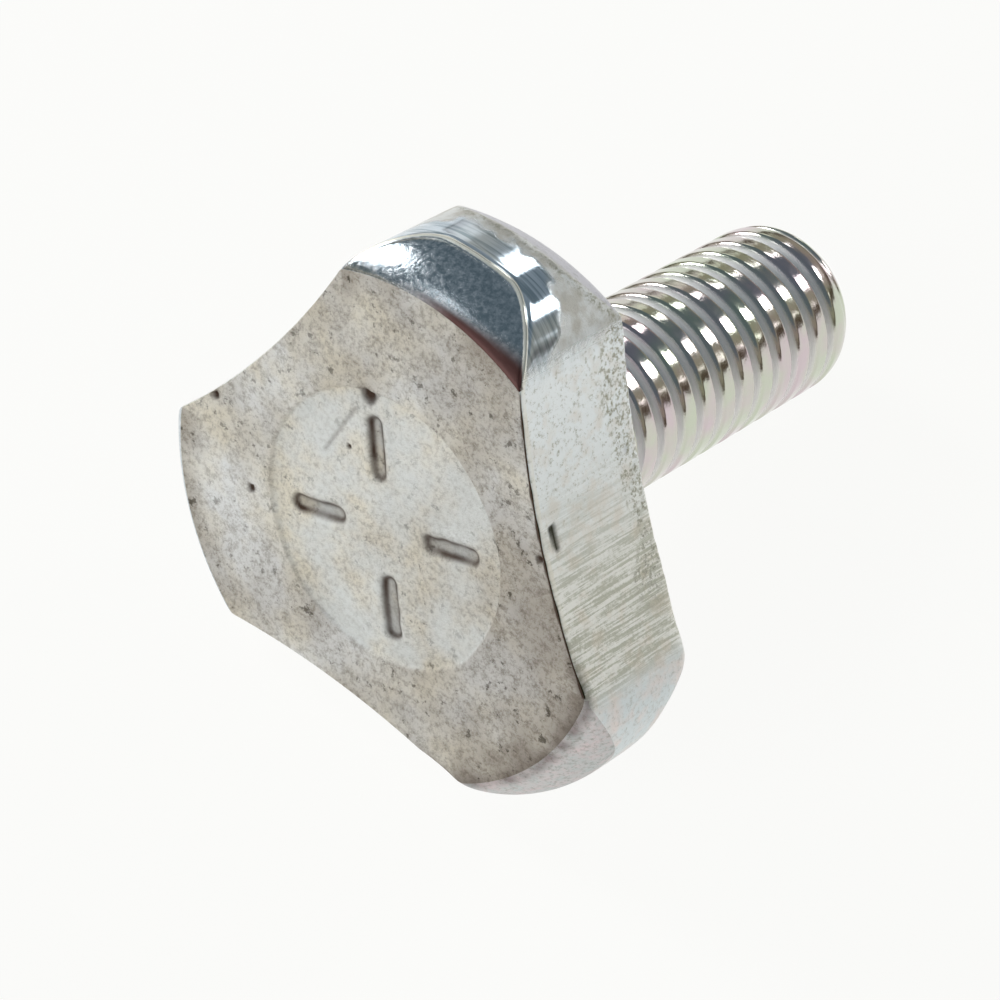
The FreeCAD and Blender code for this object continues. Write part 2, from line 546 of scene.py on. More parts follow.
def face_bevel_profile():
    """Domed bevel of the face as radii and heights, from the flat out to the rim."""
    half_run = (LOBE_RADIUS - FACE_FLAT_RADIUS) / 2.0
    half_drop = FACE_BEVEL_DEPTH / 2.0
    half_chord = math.hypot(half_run, half_drop)
    inward = math.sqrt(FACE_BEVEL_RADIUS ** 2 - half_chord ** 2) / half_chord
    centre_radius = FACE_FLAT_RADIUS + half_run - inward * half_drop
    centre_height = HEAD_HEIGHT - half_drop - inward * half_run
    start = math.atan2(HEAD_HEIGHT - centre_height, FACE_FLAT_RADIUS - centre_radius)
    end = math.acos((LOBE_RADIUS - centre_radius) / FACE_BEVEL_RADIUS)
    sweep = np.linspace(start, end, BEVEL_ARC_POINTS)
    radius = centre_radius + FACE_BEVEL_RADIUS * np.cos(sweep)
    height = centre_height + FACE_BEVEL_RADIUS * np.sin(sweep)
    return radius, height


def head_profile(side, bevel_radius, bevel_height):
    """Sharp profile of the head where its side is this far out, and its four edges.

    It runs from the middle of the face to the middle of the seat. The edges are given
    as lengths along it: of the face, of the rim, and the outer and inner one of the
    seat's bevel."""
    corners = [(0.0, HEAD_HEIGHT), (min(side, FACE_FLAT_RADIUS), HEAD_HEIGHT)]
    if side > FACE_FLAT_RADIUS:
        inside = bevel_radius < side
        corners += zip(bevel_radius[inside], bevel_height[inside])
        corners.append((side, np.interp(side, bevel_radius, bevel_height)))
    rim_edge = len(corners) - 1
    seat_rise = SEAT_BEVEL_DEPTH * (side - SEAT_FLAT_RADIUS) / (LOBE_RADIUS - SEAT_FLAT_RADIUS)
    corners.append((side, max(seat_rise, 0.0)))
    corners.append((min(side, SEAT_FLAT_RADIUS), 0.0))
    corners.append((0.0, 0.0))
    corners = np.array(corners)
    lengths = lengths_along(corners)
    return corners, lengths[-1], lengths[[1, rim_edge, rim_edge + 1, rim_edge + 2]]


def stations_between(start, end, count, close_start, close_end):
    """Ring places from one edge to the next, edges left out."""
    first = start + EDGE_GAPS * close_start
    last = end - EDGE_GAPS[::-1] * close_end
    middle = np.linspace(first[-1], last[0], count + 2)[1:-1]
    return np.concatenate([first, middle, last])


def ring_stations(edges, total):
    """Lengths along one column's profile at which its rings stand."""
    face, rim, seat, flat = edges
    rim = max(rim, face + LEAST_BEVEL_RUN)
    seat = min(seat, flat - LEAST_SEAT_RUN)
    closeness = min(1.0, (rim - face) / FULL_BEVEL_RUN)
    return np.concatenate([
        CORE_RINGS, INNER_RINGS, SINK_RINGS,
        stations_between(SINK_RINGS[-1], face, FACE_RING_COUNT, 1.0, 1.0), [face],
        stations_between(face, rim, BEVEL_RING_COUNT, closeness, closeness * SIDE_CLOSENESS), [rim],
        stations_between(rim, seat, SIDE_RING_COUNT, SIDE_CLOSENESS, SIDE_CLOSENESS), [seat],
        np.linspace(seat, flat, SEAT_BEVEL_RING_COUNT + 1)[1:],
        flat + SEAT_GAPS, [total - SEAT_END_RADIUS],
    ])


def dulling(angles):
    """Where the head is rubbed dull and its edges are worn: the lower right lobe."""
    return 1.0 - smooth_step(*DULL_FADE, angle_apart(angles, DULL_LOBE_ANGLE))


def edge_wear(stations, edges, dullness):
    """How far the profile is worn round at each ring: most on the dull lobe."""
    face, rim, seat, flat = edges
    wear = np.interp(
        stations,
        [face + FACE_WEAR_RUN, rim + RIM_WEAR_RUN, seat - SEAT_WEAR_RUN, flat],
        [FACE_EDGE_WEAR, RIM_EDGE_WEAR, SEAT_EDGE_WEAR, SEAT_EDGE_WEAR],
    )
    return np.maximum(wear, DULL_LOBE_WEAR * dullness * (stations > SINK_RINGS[-1]))


def head_surface():
    """The head with its edges worn, in rows of rings: its points and where they lie.

    Each point has the length along the profile by which it lies past the face's edge,
    past the rim's edge and past the seat bevel's edge. The rest runs from 0 to 1."""
    angles = np.arange(HEAD_COLUMNS) * FULL_TURN / HEAD_COLUMNS
    sides = outline_radius(angles)
    dull = dulling(angles)
    bevel_radius, bevel_height = face_bevel_profile()
    columns = []
    for side, dullness in zip(sides, dull):
        corners, total, edges = head_profile(side, bevel_radius, bevel_height)
        stations = ring_stations(edges, total)
        radius, height = softened(corners, stations, edge_wear(stations, edges, dullness))
        columns.append([radius, height] + [stations - edge for edge in edges[:3]])
    radius, height, past_face, past_rim, past_seat = np.array(columns).transpose(1, 2, 0)
    past_scoop = np.abs(from_scoop(angles)) - scoop_end() + np.zeros_like(radius)
    return SimpleNamespace(
        angles=angles,
        radius=radius,
        points=turned(radius, angles, height),
        past_face=past_face,
        past_rim=past_rim,
        on_face=1.0 - smooth_step(*FACE_ENDS, past_face),
        on_side=smooth_step(*SIDE_BEGINS, past_rim) * (1.0 - smooth_step(*SIDE_ENDS, past_seat)),
        past_seat=past_seat,
        seat=smooth_step(*SEAT_BEGINS, past_seat),
        in_scoop=1.0 - smooth_step(*SCOOP_FADE, past_scoop),
        bevelled=sides > FACE_FLAT_RADIUS,
        dull=dull,
    )


# Wear, marks and dirt of the head

def distance_to_marks(x, y):
    """Distance from the middle line of the nearest bar."""
    nearest = np.full(x.shape, LOBE_RADIUS)
    for index in range(MARK_COUNT):
        angle = MARK_FIRST_ANGLE + index * FULL_TURN / MARK_COUNT
        way = (math.cos(angle), math.sin(angle))
        start = (way[0] * MARK_INNER, way[1] * MARK_INNER)
        end = (way[0] * MARK_OUTER, way[1] * MARK_OUTER)
        nearest = np.minimum(nearest, distance_to_line(x, y, start, end))
    return nearest


def pressed_marks(points, sink):
    """Depth of the bars, with the lip of metal pushed up round them, and the painted shade in them:
    dark on their walls, lighter on their floors.
    """
    away = distance_to_marks(points[..., 0], points[..., 1])
    away = away + MARK_RAGGEDNESS * unevenness(points, MARK_EDGE)
    mark = 1.0 - smooth_step(MARK_HALF_WIDTH * MARK_FLOOR, MARK_HALF_WIDTH * MARK_MOUTH, away)
    lip = ridge(away - MARK_HALF_WIDTH * MARK_LIP, MARK_LIP_WIDTH)
    # Painted shade: dark on the bars' walls in patches, lighter on their floors
    wall = ridge(away - MARK_HALF_WIDTH * MARK_WALL, MARK_WALL_WIDTH)
    wall_shade = between(MARK_WALL_LEAST_SHADE, 1.0, patches(points, MARK_SHADE_PATCHES))
    shade_and_darkening = wall * wall_shade + MARK_FLOOR_SHADE * mark
    return MARK_DEPTH * mark - MARK_LIP_HEIGHT * lip * sink, shade_and_darkening


def pits_and_scratch(points):
    """Depth of the pits and the scratch in the face, and how much darker each is painted."""
    x, y = points[..., 0], points[..., 1]
    ragged = 1.0 + PIT_RAGGEDNESS * unevenness(points, PIT_EDGE)
    scratch = 1.0 - smooth_step(0.0, SCRATCH_WIDTH, distance_to_line(x, y, *SCRATCH))
    depth = SCRATCH_DEPTH * scratch
    shade_and_darkening = SCRATCH_DARKENING * scratch
    for pit_x, pit_y, size, deep in FACE_PITS:
        away = np.hypot(x - pit_x, y - pit_y) * ragged
        pit = 1.0 - smooth_step(size * PIT_FLOOR, size, away)
        depth = depth + deep * pit
        shade_and_darkening = np.maximum(shade_and_darkening, pit)
    return depth, shade_and_darkening


def face_relief(points):
    """Depth pressed into the face, the painted shade and darkening in it, and where the sink is."""
    from_axis = np.hypot(points[..., 0], points[..., 1])
    from_axis = from_axis + SINK_EDGE_WOBBLE * unevenness(points, SINK_EDGE)
    sink = 1.0 - smooth_step(SINK_RADIUS - SINK_WALL, SINK_RADIUS, from_axis)
    mark_depth, mark_shade = pressed_marks(points, sink)
    pit_depth, pit_darkening = pits_and_scratch(points)
    depth = SINK_DEPTH * sink + mark_depth + pit_depth
    depth = depth + FACE_WAVE_DEPTH * patches(points, FACE_WAVES)
    depth = depth + FACE_LUMP_DEPTH * patches(points, FACE_LUMPS)
    depth = depth + FACE_GRAIN_DEPTH * patches(points, FACE_GRAIN)
    return depth, np.maximum(mark_shade, pit_darkening), sink


def crumbling(head):
    """Where the metal is crumbled by the seat: far up the scoops, little on the lobes."""
    reach = CRUMBLING_REACH + CRUMBLING_VARIES * unevenness(head.points, CRUMBLING_EDGE)
    reach = reach * between(CRUMBLING_ON_LOBES, 1.0, head.in_scoop)
    crumbled = smooth_step(-reach, CRUMBLING_FADE - reach, head.past_seat)
    return crumbled * head.on_side * (1.0 - head.dull)


def nicking(head):
    """Where the dark nick is, in the right scoop."""
    away = distance_to_line(head.points[..., 1], head.points[..., 2], *NICK)
    return (1.0 - smooth_step(*NICK_SLOPE, away)) * head.on_side * (head.points[..., 0] > 0.0)


def side_relief(head, crumbled, nick):
    """Depth worn into the side: waves, lumps by the seat, and the nick."""
    waves = patches(head.points, SIDE_WAVES)
    lumps = np.clip(unevenness(head.points, CRUMB_LUMPS) + CRUMB_CREST, 0.0, 1.0)
    depth = SIDE_WAVE_DEPTH * waves * head.on_side
    return depth + CRUMB_DEPTH * crumbled * lumps + NICK_DEPTH * nick


def rim_hollows(head):
    """Depth worn beside the rim's edge, which leaves the edge standing as a thin lip."""
    beside = ridge(np.abs(head.past_rim) - RIM_HOLLOW_PLACE, RIM_HOLLOW_WIDTH)
    depth = RIM_HOLLOW_DEPTH * between(RIM_HOLLOW_LEAST, 1.0, patches(head.points, RIM_LIP_WAVES))
    return depth * beside * (1.0 - head.in_scoop) * (1.0 - head.dull)


def wear_head(head):
    """Presses the relief into the head's points. Returns where its finishes show it."""
    depth, shade_and_darkening, sink = face_relief(head.points)
    head.points[..., 2] -= depth * head.on_face
    crumbled = crumbling(head)
    nick = nicking(head)
    inward = side_relief(head, crumbled, nick) + rim_hollows(head)
    head.points[..., :2] *= (1.0 - inward / np.maximum(head.radius, 1.0))[..., None]
    return {"shade_and_darkening": shade_and_darkening * head.on_face + nick, "sink": sink, "crumbled": crumbled}


def soiling(head, sink):
    """How far the face is greyed by use: most by the bevels, least in the sink."""
    across = head.points[..., 0] / LOBE_RADIUS
    spots = patches(head.points, SOIL_SPOTS)
    by_bevels = smooth_step(*SOIL_BY_BEVELS_FADE, head.past_face) * head.bevelled
    soil = SOIL_RIGHTWARD * across + SOIL_IN_PATCHES * patches(head.points, SOIL_PATCHES)
    soil = soil + SOIL_IN_SPOTS * spots - SOIL_LESS_IN_SINK * sink
    soil = soil + SOIL_BY_BEVELS * by_bevels * between(SOIL_BY_BEVELS_LEAST, 1.0, spots)
    return np.clip(soil, 0.0, 1.0)


def seam(head):
    """Dark line along the edge of the right scoop, which comes and goes."""
    width = SEAM_WIDTH + SEAM_WIDTH_VARIES * unevenness(head.points, SEAM_WIDTHS)
    beside = 1.0 - smooth_step(width * SEAM_SHARPNESS, width, np.abs(head.past_face + SEAM_PLACE))
    right = 1.0 - smooth_step(*SEAM_FADE, angle_apart(head.angles, SEAM_ANGLE))
    return beside * right * (1.0 - head.bevelled)


def fringe(head):
    """Brown patches along the face's edge on the dull lobe, to both sides of it."""
    beside = 1.0 - smooth_step(*FRINGE_FADE, np.abs(head.past_face - FRINGE_PLACE))
    patchy = between(FRINGE_LEAST, 1.0, patches(head.points, FRINGE_PATCHES))
    return FRINGE_STRENGTH * beside * patchy * head.dull


def painted_brown_reflection(head):
    """Painted reflection of a brown thing on the upper lobe's bevel, in a band along the face's
    edge.
    """
    place = smooth_step(*BROWN_REFLECTION_BEGINS, head.angles)
    place = place * (1.0 - smooth_step(*BROWN_REFLECTION_ENDS, head.angles))
    wide = 1.0 - smooth_step(*BROWN_REFLECTION_NARROWS, head.angles)
    width = BROWN_REFLECTION_LEAST_WIDTH + BROWN_REFLECTION_MORE_WIDTH * wide
    return (1.0 - smooth_step(width * BROWN_REFLECTION_SHARPNESS, width, head.past_face)) * place


def edge_highlight(head):
    """Painted highlight, a bright line along the rim's edge, which comes and goes in the scoops."""
    away = np.abs(head.past_rim - BRIGHT_EDGE_IN_SCOOP * head.in_scoop)
    gaps = head.in_scoop * patches(head.points, BRIGHT_EDGE_GAPS)
    return (1.0 - smooth_step(*BRIGHT_EDGE_FADE, away)) * (1.0 - gaps) * (1.0 - head.dull)


def rear_of_lobes(head):
    """Rough metal on the rear of each lobe's side, with a ragged edge, and on the seat."""
    ragged = REAR_PATCH_REACH * unevenness(head.points, REAR_PATCHES)
    ragged = ragged + REAR_SPOT_REACH * unevenness(head.points, REAR_SPOTS)
    rear = smooth_step(*REAR_BEGINS, head.past_rim + ragged)
    return np.maximum(rear * (1.0 - head.in_scoop), head.seat)


def head_layers(head, worn):
    """What the head's finishes read at each point, from 0 to 1."""
    brown_fringe = fringe(head)
    drawn = 1.0 - smooth_step(*DRAWN_FADE, from_scoop(head.angles))
    return {
        "shade_and_darkening": worn["shade_and_darkening"] + seam(head) + brown_fringe,
        "sink": worn["sink"],
        "soil": soiling(head, worn["sink"]),
        "edge_highlight": edge_highlight(head),
        "scoop": head.in_scoop * (1.0 - head.seat),
        "drawn": head.in_scoop * drawn,
        "rear": rear_of_lobes(head),
        "dull": head.dull * (1.0 - head.seat),
        "seat": head.seat,
        "crumbled": worn["crumbled"],
        "brown_reflection_and_fringe": painted_brown_reflection(head) + brown_fringe,
    }


# Head

def head_rings(row_count):
    """Vertices of each ring and the points they keep: fewer towards the face's middle."""
    rings, kept = [], []
    for row in range(row_count):
        stride = CORE_STRIDE if row < CORE_ROWS else INNER_STRIDE if row < INNER_ROWS else 1
        columns = np.arange(0, HEAD_COLUMNS, stride)
        start = sum(len(ring) for ring in rings)
        rings.append(list(range(start, start + len(columns))))
        kept.append(row * HEAD_COLUMNS + columns)
    return rings, np.concatenate(kept)


def head_faces(rings, bevelled, face_middle, seat_middle):
    """Faces between the rings, and the finish of each one."""
    bevel_zones = [BEVEL if lobe else SIDE for lobe in bevelled & np.roll(bevelled, -1)]
    faces = top_cap(face_middle, rings[0])
    zones = [FACE] * len(faces)
    for row in range(len(rings) - 1):
        band = stitch(rings[row], rings[row + 1])
        faces += band
        if row < FACE_ROWS:
            zones += [FACE] * len(band)
        else:
            zones += bevel_zones if row < BEVEL_ROWS else [SIDE] * len(band)
    faces += bottom_cap(seat_middle, rings[-1])
    zones += [SIDE] * len(rings[-1])
    return faces, zones


def build_head(finishes):
    """Head: worn, marked and soiled, in its three finishes."""
    head = head_surface()
    worn = wear_head(head)
    layers = head_layers(head, worn)
    rings, kept = head_rings(len(head.radius))
    faces, zones = head_faces(rings, head.bevelled, len(kept), len(kept) + 1)
    for name, values in layers.items():
        layers[name] = np.append(values.reshape(-1)[kept], [values[0, 0], values[-1, 0]])
    middles = [[0.0, 0.0, head.points[0, 0, 2]], [0.0, 0.0, 0.0]]
    points = np.concatenate([head.points.reshape(-1, 3)[kept], middles])
    add_piece("screw_head", points, faces, finishes, zones, layers)


# Shank

def shank_profile():
    """Blank of the shank as radii and heights: root arc, neck, swell, end bevels."""
    bend = np.linspace(0.0, math.pi / 2.0, ROOT_ARC_POINTS)
    root_radius = NECK_RADIUS + NECK_ROOT_RADIUS * (1.0 - np.sin(bend))
    root_height = -NECK_ROOT_RADIUS * (1.0 - np.cos(bend))
    bevel_top = END_BEVEL_LENGTH - SHANK_LENGTH
    bevel_radius = CREST_RADIUS - END_TAPER_DEPTH
    corners = [(NECK_RADIUS + NECK_ROOT_RADIUS, SHANK_OVERLAP)]
    corners += list(zip(root_radius, root_height))
    corners += [
        (NECK_RADIUS, -NECK_LENGTH),
        (CREST_RADIUS, NECK_RADIUS - CREST_RADIUS - NECK_LENGTH),
        (CREST_RADIUS, bevel_top + END_TAPER_LENGTH),
        (bevel_radius, bevel_top),
        (bevel_radius - END_BEVEL_DEPTH, -SHANK_LENGTH),
        (0.0, -SHANK_LENGTH),
    ]
    return np.array(corners)


def worn_blank():
    """Radii and heights of the shank's rings before the thread, edges worn round."""
    corners = shank_profile()
    total = lengths_along(corners)[-1]
    stations = np.concatenate([
        np.linspace(0.0, total - END_RINGS_RUN, SHANK_RING_COUNT),
        np.linspace(total - END_RINGS_RUN + END_RINGS_GAP, total - END_RINGS_GAP, END_RING_COUNT),
    ])
    wear = np.where(stations > total - END_WEAR_RUN, END_WEAR, BLANK_EDGE_WEAR)
    wear = np.minimum(wear, (total - stations) / 2.0)
    return softened(corners, stations, wear)


def groove_radius(angle, height):
    """Radius that the thread's groove leaves: a V, shallower by the end and the neck."""
    turns = (angle - THREAD_START_ANGLE) / FULL_TURN
    lead = height / THREAD_PITCH + NECK_LENGTH - turns
    across = ((lead + 0.5) % 1.0 - 0.5) * THREAD_PITCH
    last_full = -NECK_LENGTH - THREAD_PITCH
    past_full = (height - across - last_full) / THREAD_PITCH
    climb = RUN_OUT_CLIMB * np.clip(past_full, 0.0, RUN_OUT_TURNS)
    worn = END_GROOVE_WEAR * (1.0 - smooth_step(*END_GROOVE_FADE, height + SHANK_LENGTH))
    slope = np.sqrt(across ** 2 + ROOT_ROUNDING ** 2) - ROOT_ROUNDING * ROOT_LIFT
    return CREST_RADIUS - THREAD_DEPTH + climb + worn + slope / math.tan(THREAD_FLANK_ANGLE)


def shank_surface():
    """Points of the threaded shank in rows of rings, and how deep in a groove each is."""
    blank_radius, blank_height = worn_blank()
    angles = np.arange(SHANK_COLUMNS) * FULL_TURN / SHANK_COLUMNS
    blank = blank_radius[:, None] * np.ones_like(angles)
    height = blank_height[:, None] * np.ones_like(angles)
    radius = smooth_min(blank, groove_radius(angles[None, :], height), CREST_WEAR)
    points = turned(radius, angles, height)
    points[..., :2] *= (1.0 - CREST_UNEVENNESS * patches(points, CREST_WAVES))[..., None]
    return points, np.clip((blank - radius) / THREAD_DEPTH, 0.0, 1.0)


def build_shank(finish):
    """Shank: neck, rolled thread and bevelled end, closed at the seat and the end."""
    points, groove = shank_surface()
    rows, columns = groove.shape
    rings = [list(range(row * columns, (row + 1) * columns)) for row in range(rows)]
    top, bottom = rows * columns, rows * columns + 1
    faces = top_cap(top, rings[0])
    for upper, lower in zip(rings, rings[1:]):
        faces += stitch(upper, lower)
    faces += bottom_cap(bottom, rings[-1])
    middles = [[0.0, 0.0, SHANK_OVERLAP], [0.0, 0.0, points[-1, -1, 2]]]
    points = np.concatenate([points.reshape(-1, 3), middles])
    layers = {"groove": np.append(groove, [0.0, 0.0])}
    add_piece("screw_shank", points, faces, [finish], [0] * len(faces), layers)


# Finishes

def linear(code):
    """sRGB hex to a linear colour."""
    channels = [int(code[i:i + 2], 16) / 255.0 for i in (0, 2, 4)]
    straight = [c / 12.92 if c <= 0.04045 else ((c + 0.055) / 1.055) ** 2.4 for c in channels]
    return (*straight, 1.0)


# Forged face: zinc, stains, soil, mottling, grit, the sink's paler zinc, and painted shade and
# darkening
FACE_ZINC = linear("E8E9E8")
FACE_STAIN = linear("E9E3D3")
FACE_SOIL = linear("A29A90")
FACE_MOTTLE = linear("857C70")
FACE_GRIT = linear("4B4436")
SINK_ZINC = linear("E0E3E0")
# Painted shade in the marks' walls and floors, and darkening in the pits, the scratch and along
# edges
FACE_SHADE_AND_DARKENING = linear("4C3A30")

# Turned bevel: bright zinc and its haze, rubbed zinc in two casts, specks, and a painted brown
# reflection
BEVEL_ZINC = linear("B2BEC4")
BEVEL_HAZE = linear("E6EAEE")
RUBBED_BEVEL = linear("CCD2D0")
RUBBED_BEVEL_PINK = linear("E2D4D4")
BEVEL_SPECKS = linear("8E8C80")
# Painted brown reflection on the upper lobe's bevel, also used for the brown patches by the dull
# lobe's face edge
BROWN_REFLECTION_AND_FRINGE = linear("4C2C28")
# Painted highlight along the rim's edge, on the bevel and on the side
EDGE_HIGHLIGHT_TONE = linear("F0EEE2")

# Scooped side: drawn lines, sandy zinc and stains in a scoop, turned lines on a rim,
# crumbly zinc behind it, the seat, the rubbed lobe in two casts, crumbs and darkening
DRAWN_GROOVES = linear("C8C9BA")
DRAWN_CRESTS = linear("F8F8F2")
SCOOP_ZINC = linear("F5FAFB")
SCOOP_SAND = linear("ABADA0")
SCOOP_STAIN = linear("DCCDB8")
RIM_ZINC = linear("D4E0EA")
RIM_LINES = linear("9FB0BA")
REAR_ZINC = linear("ECEEEC")
REAR_STAIN = linear("D0CEC6")
SEAT_ZINC = linear("E1DFE6")
SEAT_SAND = linear("B4B2B2")
RUBBED_SIDE = linear("E8EFF0")
RUBBED_SIDE_PINK = linear("F2EAE6")
SIDE_SPECKS = linear("A4A296")
CRUMBLED_METAL = linear("A6A594")
# Darkening in the nick and along the face's edge
SIDE_DARKENING = linear("2E2E1C")

# Rolled thread: zinc in two faint casts, and pale grooves, painted light as thin light lines
# between the turns
THREAD_ZINC = linear("C8CEBC")
THREAD_ZINC_PINK = linear("D0C2C6")
GROOVE_PAINTED_LIGHT = linear("F8F6F4")

# Table and walls
TABLE_MATTE = linear("F2F2F0")
TABLE_WHITE = linear("FEFEFC")
LOW_WALL = linear("564A3E")
WALL = linear("A09A8C")
CEILING = linear("66727A")

# Kinds of nodes
NOISE = "ShaderNodeTexNoise"
RANGE = "ShaderNodeMapRange"
MATH = "ShaderNodeMath"
VECTOR_MATH = "ShaderNodeVectorMath"
MIX = "ShaderNodeMix"
MIX_SHADER = "ShaderNodeMixShader"
BUMP = "ShaderNodeBump"
LAYER = "ShaderNodeAttribute"

# Inputs and the output of a node that mixes colours
SHARE, UNDER, OVER = 0, 6, 7
MIXED_COLOUR = 2


def plug(tree, node, inputs):
    """Sets a node's inputs: to values, to outputs, or to the first output of a node."""
    for name, value in inputs.items():
        if isinstance(value, bpy.types.Node):
            value = value.outputs[0]
        if isinstance(value, bpy.types.NodeSocket):
            tree.links.new(value, node.inputs[name])
        else:
            node.inputs[name].default_value = value


def add(tree, kind, inputs=None, **settings):
    """Adds a node with its settings and inputs."""
    node = tree.nodes.new(kind)
    for name, value in settings.items():
        setattr(node, name, value)
    plug(tree, node, inputs or {})
    return node


def noise(tree, place, width, detail, roughness=0.5):
    """Noise pattern of this width."""
    inputs = {"Vector": place, "Scale": 1 / width, "Detail": detail, "Roughness": roughness}
    return add(tree, NOISE, inputs)


def ranged(tree, value, over=(0.0, 1.0), to=(0.0, 1.0), **settings):
    """A value that goes from end to end of a range as another goes over its own."""
    inputs = {"Value": value, "From Min": over[0], "From Max": over[1]}
    inputs.update({"To Min": to[0], "To Max": to[1]})
    return add(tree, RANGE, inputs, **settings)


def greater(tree, a, b):
    """The greater of two values."""
    return add(tree, MATH, {0: a, 1: b}, operation="MAXIMUM")


def set_surface(tree, tone, metal, rough, relief):
    """Gives a finish its colour, how metallic and how rough it is, and its fine relief."""
    inputs = {"Base Color": tone, "Metallic": metal, "Roughness": rough, "Normal": relief}
    plug(tree, tree.nodes["Principled BSDF"], inputs)


def coated(tree, tone, coats):
    """A tone with coats of colour laid over it in turn, each where its mask shows."""
    for mask, coat in coats:
        inputs = {SHARE: mask, UNDER: tone, OVER: coat}
        tone = add(tree, MIX, inputs, data_type="RGBA").outputs[MIXED_COLOUR]
    return tone


def new_finish(name, layer_names):
    """Material, its node tree, places on the screw in millimetres, and its layers."""
    material = bpy.data.materials.new(name)
    material.use_nodes = True
    tree = material.node_tree
    place = add(tree, LAYER, attribute_name="place").outputs["Vector"]
    layers = [add(tree, LAYER, attribute_name=layer).outputs["Fac"] for layer in layer_names]
    return material, tree, place, layers


def forged_zinc_face():
    """Zinc plate on forged steel, dulled by use: matte, sandy, mottled grey and beige.

    In the sink it is cleaner and paler. The marks' walls and floors get painted shade, and the pits
    and edges are painted darker."""
    material, tree, place, (soil, sink, shade_and_darkening) = new_finish(
        "zinc_plated_forged_face", ("soil", "sink", "shade_and_darkening"),
    )
    blotch = noise(tree, place, BLOTCH_WIDTH, 3.0)
    sand = noise(tree, place, SAND_WIDTH, 5.0, 0.8)
    grit = noise(tree, place, GRIT_WIDTH, 4.0, 0.7)
    stained = ranged(tree, blotch, (0.38, 0.66))
    strength = ranged(tree, soil, to=(0.45, 0.95))
    mottled = ranged(tree, sand, (0.46, 0.64), to=(0.0, strength))
    gritty = ranged(tree, grit, (0.61, 0.66), to=(0.0, strength))
    cleaned = ranged(tree, blotch, (0.6, 0.4), to=(0.0, 0.55))
    pale = add(tree, MATH, {0: sink, 1: cleaned}, operation="MULTIPLY")
    tone = coated(tree, FACE_ZINC, [
        (stained, FACE_STAIN), (soil, FACE_SOIL), (mottled, FACE_MOTTLE),
        (gritty, FACE_GRIT), (pale, SINK_ZINC), (shade_and_darkening, FACE_SHADE_AND_DARKENING),
    ])
    worn = ranged(tree, sand, (0.3, 0.7), to=(0.42, 0.6))
    sandy = add(tree, BUMP, {"Height": sand, "Distance": 0.1 * MM, "Strength": 0.8}, invert=True)
    pitted = add(tree, BUMP, {
        "Height": gritty, "Distance": 0.03 * MM, "Strength": 0.7, "Normal": sandy,
    }, invert=True)
    set_surface(tree, tone, 0.75, worn, pitted)
    return material


def turned_zinc_bevel():
    """Bright zinc on the turned bevel: mirror-like under a fine haze of wear.

    One lobe has a band of painted brown reflection, another is rubbed dull and pale."""
    material, tree, place, (dull, brown_reflection_and_fringe, edge) = new_finish(
        "zinc_plated_turned_bevel", ("dull", "brown_reflection_and_fringe", "edge_highlight"),
    )
    haze = noise(tree, place, HAZE_WIDTH, 4.0, 0.7)
    cloud = noise(tree, place, RUBBED_CLOUD_WIDTH, 6.0, 0.75)
    hazy = ranged(tree, haze, (0.4, 0.66))
    pinkish = ranged(tree, cloud, (0.35, 0.65))
    specked = ranged(tree, haze, (0.5, 0.66), to=(0.0, 0.6))
    bright = coated(tree, BEVEL_ZINC, [(hazy, BEVEL_HAZE)])
    rubbed = coated(tree, RUBBED_BEVEL, [(pinkish, RUBBED_BEVEL_PINK), (specked, BEVEL_SPECKS)])
    tone = coated(tree, bright, [(dull, rubbed), (brown_reflection_and_fringe, BROWN_REFLECTION_AND_FRINGE), (edge, EDGE_HIGHLIGHT_TONE)])
    matte = greater(tree, dull, brown_reflection_and_fringe)
    matte = greater(tree, matte, edge)
    metal = ranged(tree, matte, to=(1.0, 0.5))
    worn = ranged(tree, haze, (0.4, 0.66), to=(0.14, 0.27))
    rough = add(tree, MIX, {"Factor": matte, "A": worn, "B": 0.42})
    uneven = add(tree, BUMP, {"Height": haze, "Distance": 0.02 * MM, "Strength": 0.4})
    set_surface(tree, tone, metal, rough, uneven)
    return material


def drawn_lines(tree, place):
    """Fine lines that run down the side where the blank was drawn through its die."""
    down = add(tree, VECTOR_MATH, {0: place, 1: DRAWN_STRETCH}, operation="MULTIPLY")
    return noise(tree, down, DRAWN_LINE_WIDTH, 3.0, 0.6)


def scoop_tone(tree, sand, sandy, cloud, lines, drawn):
    """Scoop: lines frayed by the sand in its lower half, mottled zinc in its upper."""
    frayed = add(tree, MATH, {0: sand, 1: 0.5, 2: lines}, operation="MULTIPLY_ADD")
    line = ranged(tree, frayed, (0.67, 0.81))
    stained = ranged(tree, cloud, (0.5, 0.64), to=(0.0, 0.3))
    lower = coated(tree, DRAWN_GROOVES, [(line, DRAWN_CRESTS)])
    upper = coated(tree, SCOOP_ZINC, [(sandy, SCOOP_SAND)])
    return coated(tree, upper, [(drawn, lower), (stained, SCOOP_STAIN)])


def lobe_tone(tree, place, sandy, cloud, rear, seat):
    """Lobe: turned lines round its rim, crumbly zinc behind it, sandy zinc on the seat."""
    around = add(tree, VECTOR_MATH, {0: place, 1: TURNED_STRETCH}, operation="MULTIPLY")
    turning = noise(tree, around, 1.0, 2.0)
    lined = ranged(tree, turning, (0.45, 0.65))
    crumbly = ranged(tree, cloud, (0.44, 0.56))
    rim_tone = coated(tree, RIM_ZINC, [(lined, RIM_LINES)])
    seat_tone = coated(tree, SEAT_ZINC, [(sandy, SEAT_SAND)])
    rear_tone = coated(tree, REAR_ZINC, [(crumbly, REAR_STAIN), (seat, seat_tone)])
    return coated(tree, rim_tone, [(rear, rear_tone)])


